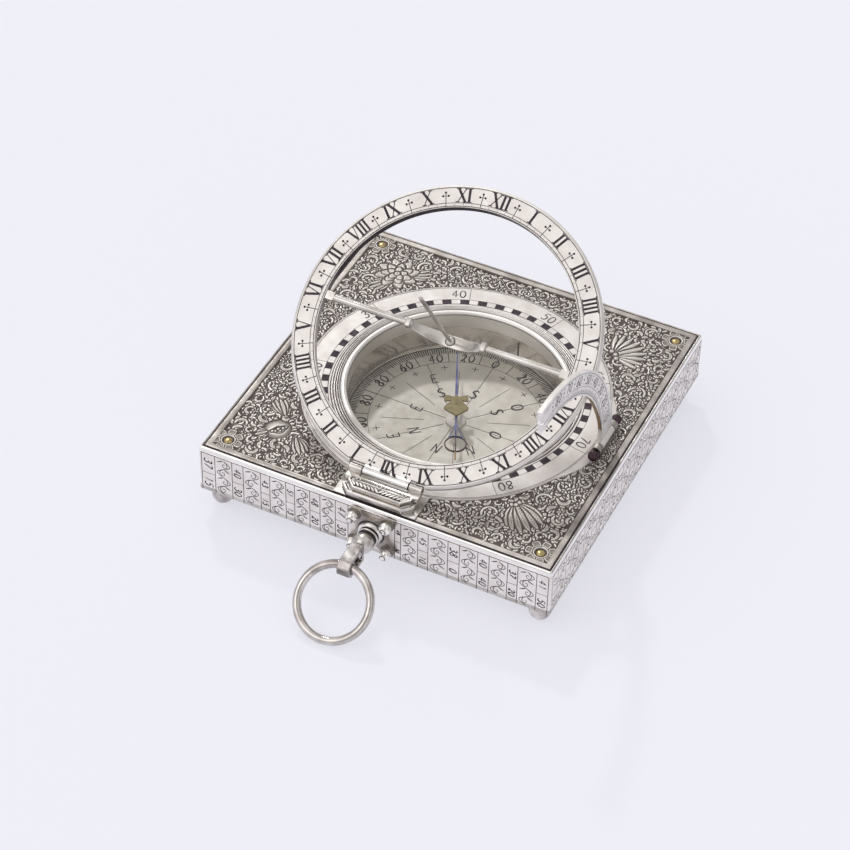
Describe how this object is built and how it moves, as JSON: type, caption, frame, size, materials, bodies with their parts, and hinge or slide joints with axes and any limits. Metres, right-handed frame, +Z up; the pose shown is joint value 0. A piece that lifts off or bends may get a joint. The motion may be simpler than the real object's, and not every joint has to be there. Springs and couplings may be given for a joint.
{
  "type": "equinoctial sundial",
  "caption": "Square pocket compass box with a hinged hour ring, folding gnomon, latitude arc, compass needle and swivelling suspension ring, used as a universal sundial.",
  "frame": {"origin": "centre of the flat underside of the base plate; the feet reach 4.3 mm below it", "axes": "+Z up out of the dial face, +Y from the hour ring's hinge to the back edge along the XII-XII line, +X to the side of the latitude arc"},
  "size_m": [0.0716, 0.093, 0.0514],
  "materials": {
    "silver": "polished silver with engraved lines",
    "dark_silver": "oxidised silver, carved in relief or left dark",
    "brass": "gilt brass, lightly worn",
    "blued_steel": "heat-blued steel",
    "glass": "clear glass with a faint green tint"
  },
  "bodies": {
    "case": {"base_plate": "silver", "case_frame": "silver", "ball_foot_front_left": "silver", "ball_foot_front_right": "silver", "ball_foot_back_right": "silver", "ball_foot_back_left": "silver", "top_plate": "dark_silver", "corner_screw_front_left": "brass", "corner_screw_front_right": "brass", "corner_screw_back_right": "brass", "corner_screw_back_left": "brass", "scale_ring": "silver", "bezel": "silver", "glass": "glass", "compass_bowl": "silver", "compass_card": "silver", "needle_pivot": "silver", "hinge_bracket": "silver", "hinge_pin": "dark_silver", "arc_hinge_base": "silver", "arc_hinge_pin": "dark_silver", "arc_hinge_ball": "dark_silver", "suspension_plate": "silver", "suspension_stud_lower_left": "silver", "suspension_stud_lower_right": "silver", "suspension_stud_upper_right": "silver", "suspension_stud_upper_left": "silver", "swivel_stud": "silver"},
    "hour_ring": {"hour_ring": "silver", "gnomon_bearing_left": "silver", "gnomon_bearing_right": "silver"},
    "gnomon": {"gnomon_bar": "silver", "gnomon_pin": "silver"},
    "latitude_arc": {"latitude_arc": "silver"},
    "compass_needle": {"needle": "blued_steel", "needle_cap": "brass"},
    "suspension_strap": {"suspension_strap": "silver"},
    "suspension_ring": {"suspension_ring": "silver"}
  },
  "joints": [
    {"name": "hour_ring_hinge", "type": "hinge", "parent": "case", "child": "hour_ring", "pos_m": [0, -0.0298, 0.0135], "axis": [1, 0, 0], "range_deg": [-32.5, 57.5]},
    {"name": "gnomon_pivot", "type": "hinge", "parent": "hour_ring", "child": "gnomon", "pos_m": [0, -0.00559, 0.02892], "axis": [1, 0, 0], "range_deg": [-90, 90]},
    {"name": "latitude_arc_hinge", "type": "hinge", "parent": "case", "child": "latitude_arc", "pos_m": [0.0307, -0.00085, 0.0124], "axis": [0, 1, 0], "range_deg": [-0.3, 1.5]},
    {"name": "needle_spin", "type": "hinge", "parent": "case", "child": "compass_needle", "pos_m": [0, 0, 0.0068], "axis": [0, 0, 1], "continuous": true},
    {"name": "strap_swivel", "type": "hinge", "parent": "case", "child": "suspension_strap", "pos_m": [0.0003, -0.0416, 0.0057], "axis": [0, 1, 0], "continuous": true},
    {"name": "suspension_ring_swing", "type": "hinge", "parent": "suspension_strap", "child": "suspension_ring", "pos_m": [0.0003, -0.04615, 0.006], "axis": [1, 0, 0], "range_deg": [-120, 60]}
  ]
}
